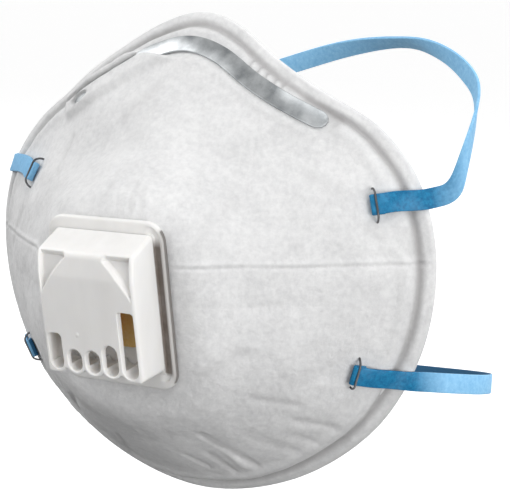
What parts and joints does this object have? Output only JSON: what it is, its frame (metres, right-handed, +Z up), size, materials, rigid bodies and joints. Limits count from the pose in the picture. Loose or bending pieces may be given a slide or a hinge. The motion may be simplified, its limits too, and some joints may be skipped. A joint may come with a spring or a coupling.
{
  "type": "disposable dust mask",
  "caption": "Moulded cup dust mask with an exhalation valve, a bendable nose clip, a foam nose strip and elastic head straps stapled to the cup.",
  "frame": {"origin": "centre of the face opening, in the plane of the rim's flat rear face", "axes": "+Z up as the mask is worn, +Y out of the face opening towards the wearer's face, -Y out of the front of the cup, +X to the right when the front of the mask is looked at"},
  "size_m": [0.1532, 0.1063, 0.1315],
  "materials": {
    "white_nonwoven": "matt white nonwoven web with a fine fibrous grain, crushed flat and slightly glazed at the welded rim",
    "filter_web": "soft white melt-blown filter web",
    "moulded_fibre": "stiff off-white moulded fibre shell",
    "nose_clip_metal": "bare soft aluminium strip with a fine rolled grain and bend marks",
    "grey_foam": "open-cell grey foam",
    "white_plastic": "warm white moulded plastic with a fine satin texture",
    "flap_rubber": "ochre translucent rubber sheet",
    "blue_elastic": "flat blue synthetic rubber band, lightly dusted and mottled",
    "staple_wire": "plain steel staple wire"
  },
  "bodies": {
    "mask": {"outer_cover_web": "white_nonwoven", "filter_web": "filter_web", "moulded_shell": "moulded_fibre", "rim_weld": "white_nonwoven", "nose_clip": "nose_clip_metal", "nose_foam": "grey_foam", "valve_seat": "white_plastic", "flap_clamped_edge": "flap_rubber", "valve_cover": "white_plastic", "upper_strap_end_right": "blue_elastic", "upper_strap_end_left": "blue_elastic", "upper_staple_right": "staple_wire", "upper_staple_left": "staple_wire", "lower_strap_end_right": "blue_elastic", "lower_strap_end_left": "blue_elastic", "lower_staple_right": "staple_wire", "lower_staple_left": "staple_wire"},
    "flap": {"valve_flap": "flap_rubber"},
    "upper_strap": {"upper_strap_loop": "blue_elastic"},
    "lower_strap": {"lower_strap_loop": "blue_elastic"}
  },
  "joints": [
    {"name": "flap_hinge", "type": "hinge", "parent": "mask", "child": "flap", "pos_m": [0, -0.04593, 0.0071], "axis": [-1, 0, 0], "range_deg": [0, 15], "stiffness_Nm_per_rad": 0.0005, "springref_deg": -11.46},
    {"name": "upper_strap_swing", "type": "hinge", "parent": "mask", "child": "upper_strap", "pos_m": [0, 0.0008, 0.02537], "axis": [0.9999, 0, -0.0124], "range_deg": [-45, 50], "stiffness_Nm_per_rad": 0.02},
    {"name": "lower_strap_swing", "type": "hinge", "parent": "mask", "child": "lower_strap", "pos_m": [0, 0.0008, -0.02534], "axis": [0.9996, 0, 0.0266], "range_deg": [-45, 28], "stiffness_Nm_per_rad": 0.02}
  ]
}
